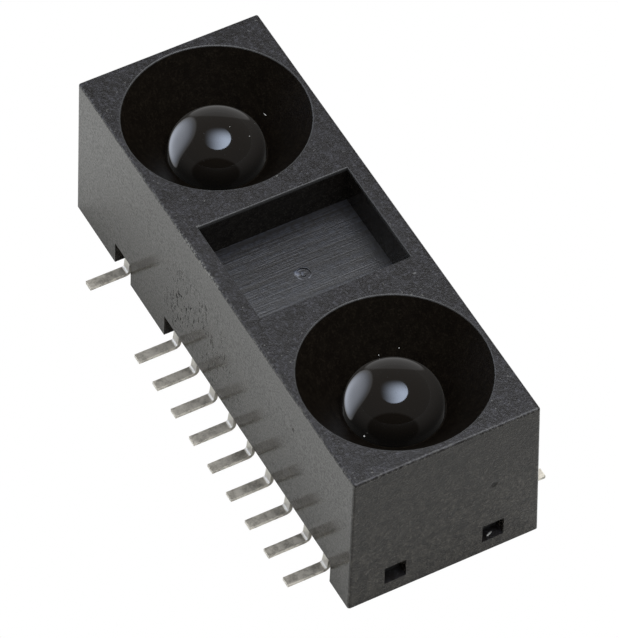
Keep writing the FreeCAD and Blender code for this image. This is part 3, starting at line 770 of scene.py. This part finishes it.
for name, way in (("flash_near", 1), ("flash_far", -1)):
    bpy.ops.mesh.primitive_grid_add(x_subdivisions=60, y_subdivisions=1, size=1.0)
    ridge = start(name)
    bpy.ops.transform.resize(value=(FLASH_LENGTH, FLASH_TOP - FLASH_FOOT, 1))
    bpy.ops.transform.rotate(value=math.pi / 2, orient_axis="X", center_override=(0, 0, 0))
    bpy.ops.transform.rotate(value=math.pi / 2, orient_axis="Z", center_override=(0, 0, 0))
    bpy.ops.transform.translate(value=(way * FLASH_X, 0, (FLASH_TOP + FLASH_FOOT) / 2))
    pick(ridge, lambda corner: corner.z < (FLASH_TOP + FLASH_FOOT) / 2)
    bpy.ops.transform.vertex_random(offset=FLASH_RAG, seed=3 + way)
    bpy.ops.mesh.select_all(action="SELECT")
    bpy.ops.mesh.extrude_region_move(TRANSFORM_OT_translate={"value": (-way * FLASH_THICK, 0, 0)})
    settle(ridge, case_look)
    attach(ridge, "root")

# Leads: strip of copper alloy with a matt tin plate. The feet are dull and mottled, the legs
# rubbed bright by the forming tool, and the cut tips show streaks.
TIN_DULL = (0.25, 0.236, 0.208, 1.0)
TIN_PALE = (0.66, 0.632, 0.58, 1.0)
TIN_BRIGHT = (0.72, 0.70, 0.65, 1.0)
FOOT_TOP = 0.10
LEG_Y = 3.7
TIP_Y = 5.45
FOOT_ROUGH = (0.38, 0.55)
LEG_ROUGH = 0.30
BLOTCH_DEPTH = 0.004
STREAK_DEPTH = 0.004
TIN_GRAIN_DEPTH = 0.003

lead_look, tree, shader, place = new_look("tin")
x, y, z = parts_of(tree, place)
ay = calc(tree, "ABSOLUTE", y)
blotches = grain(tree, place, 3.4, 4.0, 0.65)
fine = grain(tree, place, 12.0, 3.0, 0.65)
streaks = grain(tree, place, 1.0, 3.0, 0.7, stretch=(22.0, 2.0, 3.0))
plate = tint(tree, rise(tree, blotches, 0.35, 0.65), TIN_DULL, TIN_PALE)
plate = tint(tree, calc(tree, "MULTIPLY", rise(tree, fine, 0.44, 0.64), 0.6), plate, TIN_PALE)
leg = both(tree, rise(tree, z, FOOT_TOP, FOOT_TOP + 0.14), rise(tree, ay, LEG_Y - 0.2, LEG_Y))
plate = tint(tree, leg, plate, TIN_BRIGHT)
tip = rise(tree, ay, TIP_Y - 0.03, TIP_Y - 0.01)
plate = tint(tree, both(tree, tip, rise(tree, streaks, 0.4, 0.6)), plate, TIN_BRIGHT)
tree.links.new(plate, shader.inputs["Base Color"])
shader.inputs["Metallic"].default_value = 1.0
rough = level(tree, rise(tree, blotches, 0.3, 0.7), *FOOT_ROUGH)
rough = level(tree, leg, rough, LEG_ROUGH)
tree.links.new(rough, shader.inputs["Roughness"])
height = calc(
    tree, "ADD", calc(tree, "MULTIPLY", blotches, BLOTCH_DEPTH),
    calc(tree, "MULTIPLY", streaks, STREAK_DEPTH))
height = calc(tree, "ADD", height, calc(tree, "MULTIPLY", fine, TIN_GRAIN_DEPTH))
bump = add(tree, "Bump", {"Strength": 0.9, "Distance": MM, "Height": height})
tree.links.new(bump, shader.inputs["Normal"])
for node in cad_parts:
    if node.startswith("lead_"):
        dress(node, lead_look)

# Chips: three dies sawn from silicon wafers, with faces that are etched in small cells. Each is
# bonded to the pad of one lead, under its casting.
CELL_DARK = (0.10, 0.10, 0.13, 1.0)
CELL_PALE = (0.16, 0.14, 0.17, 1.0)
CELL_GAP = (0.05, 0.05, 0.06, 1.0)
CELLS_TO_MM = 3.0
CELL_SEAM = 0.03
CHIP_METAL = 0.6
CHIP_ROUGH = (0.15, 0.3)

chip_look, tree, shader, place = new_look("silicon")
cells = add(
    tree, "TexBrick",
    {"Vector": place, "Color1": CELL_DARK, "Color2": CELL_PALE, "Mortar": CELL_GAP,
     "Scale": CELLS_TO_MM, "Mortar Size": CELL_SEAM})
tree.links.new(cells, shader.inputs["Base Color"])
shader.inputs["Metallic"].default_value = CHIP_METAL
tree.links.new(level(tree, grain(tree, place, 6.0), *CHIP_ROUGH), shader.inputs["Roughness"])
for node in ("emitter_chip", "position_detector_chip", "control_chip"):
    dress(node, chip_look)

# Bond wires: thin wire drawn from gold. Each goes from a chip up and over to a lead beside it,
# and is welded at both ends.
GOLD_DEEP = (0.80, 0.56, 0.20, 1.0)
GOLD_PALE = (0.90, 0.68, 0.30, 1.0)
GOLD_ROUGH = (0.2, 0.32)

wire_look, tree, shader, place = new_look("gold")
drawn = grain(tree, place, 20.0, 2.0)
tree.links.new(tint(tree, drawn, GOLD_DEEP, GOLD_PALE), shader.inputs["Base Color"])
shader.inputs["Metallic"].default_value = 1.0
tree.links.new(level(tree, drawn, *GOLD_ROUGH), shader.inputs["Roughness"])
for node in ("emitter_wire", "detector_wires", "control_wires"):
    dress(node, wire_look)

# Castings: resin poured into the carrier's wells over the chips. Those over the emitter and the
# detector are clear, so the chips and the gold wires show through them. The third one is black.
CASTING_CLEAR = (0.92, 0.95, 0.94, 1.0)
CASTING_MILKY = (0.84, 0.89, 0.88, 1.0)
CASTING_ROUGH = (0.04, 0.12)
CASTING_IOR = 1.52
CASTING_CLARITY = 0.9
CASTING_BLACK = (0.006, 0.006, 0.007, 1.0)
CASTING_GREY = (0.018, 0.018, 0.019, 1.0)
BLACK_CASTING_ROUGH = (0.15, 0.3)

clear_look, tree, shader, place = new_look("clear_casting")
swirl = grain(tree, place, 0.9, 3.0)
tree.links.new(tint(tree, swirl, CASTING_CLEAR, CASTING_MILKY), shader.inputs["Base Color"])
tree.links.new(level(tree, swirl, *CASTING_ROUGH), shader.inputs["Roughness"])
shader.inputs["IOR"].default_value = CASTING_IOR
shader.inputs["Transmission Weight"].default_value = CASTING_CLARITY
for node in ("emitter_resin", "detector_resin"):
    dress(node, clear_look)

dark_look, tree, shader, place = new_look("dark_casting")
swirl = grain(tree, place, 1.6, 3.0)
tree.links.new(tint(tree, swirl, CASTING_BLACK, CASTING_GREY), shader.inputs["Base Color"])
tree.links.new(level(tree, swirl, *BLACK_CASTING_ROUGH), shader.inputs["Roughness"])
dress("control_resin", dark_look)

# Light links: each light falls on the surfaces that it was matched to. The core and the lens room
# reach the lenses alone, past the walls of the cones. The ceiling reaches the leads, the soft box
# the rest, and the case room all but the lenses.
lens_pieces = [bpy.data.objects[name] for name in ("emitter_dome", "detector_dome")]
solid_pieces = [item for item in bpy.data.objects if item.type == "MESH"]


def light_list(name, pieces, state):
    """A collection that lets a light reach its pieces, or keeps the light off them."""
    listed = bpy.data.collections.new(name)
    for piece in pieces:
        listed.objects.link(piece)
    for entry in listed.collection_objects:
        entry.light_linking.link_state = state
    return listed


lead_pieces = [item for item in solid_pieces if item.name.startswith("lead_")]
only_lenses = light_list("only_lenses", lens_pieces, "INCLUDE")
not_lenses = light_list("not_lenses", lens_pieces, "EXCLUDE")
only_leads = light_list("only_leads", lead_pieces, "INCLUDE")
plain_pieces = light_list("not_lenses_or_leads", lens_pieces + lead_pieces, "EXCLUDE")
nothing_blocks = light_list(
    "nothing_blocks", [item for item in solid_pieces if item is not lens_room], "EXCLUDE")
core.light_linking.receiver_collection = only_lenses
lens_room.light_linking.receiver_collection = only_lenses
lens_room.light_linking.blocker_collection = nothing_blocks
softbox.light_linking.receiver_collection = plain_pieces
ceiling.light_linking.receiver_collection = only_leads
case_room.light_linking.receiver_collection = not_lenses
under.light_linking.blocker_collection = light_list("floor_is_clear", [floor], "EXCLUDE")
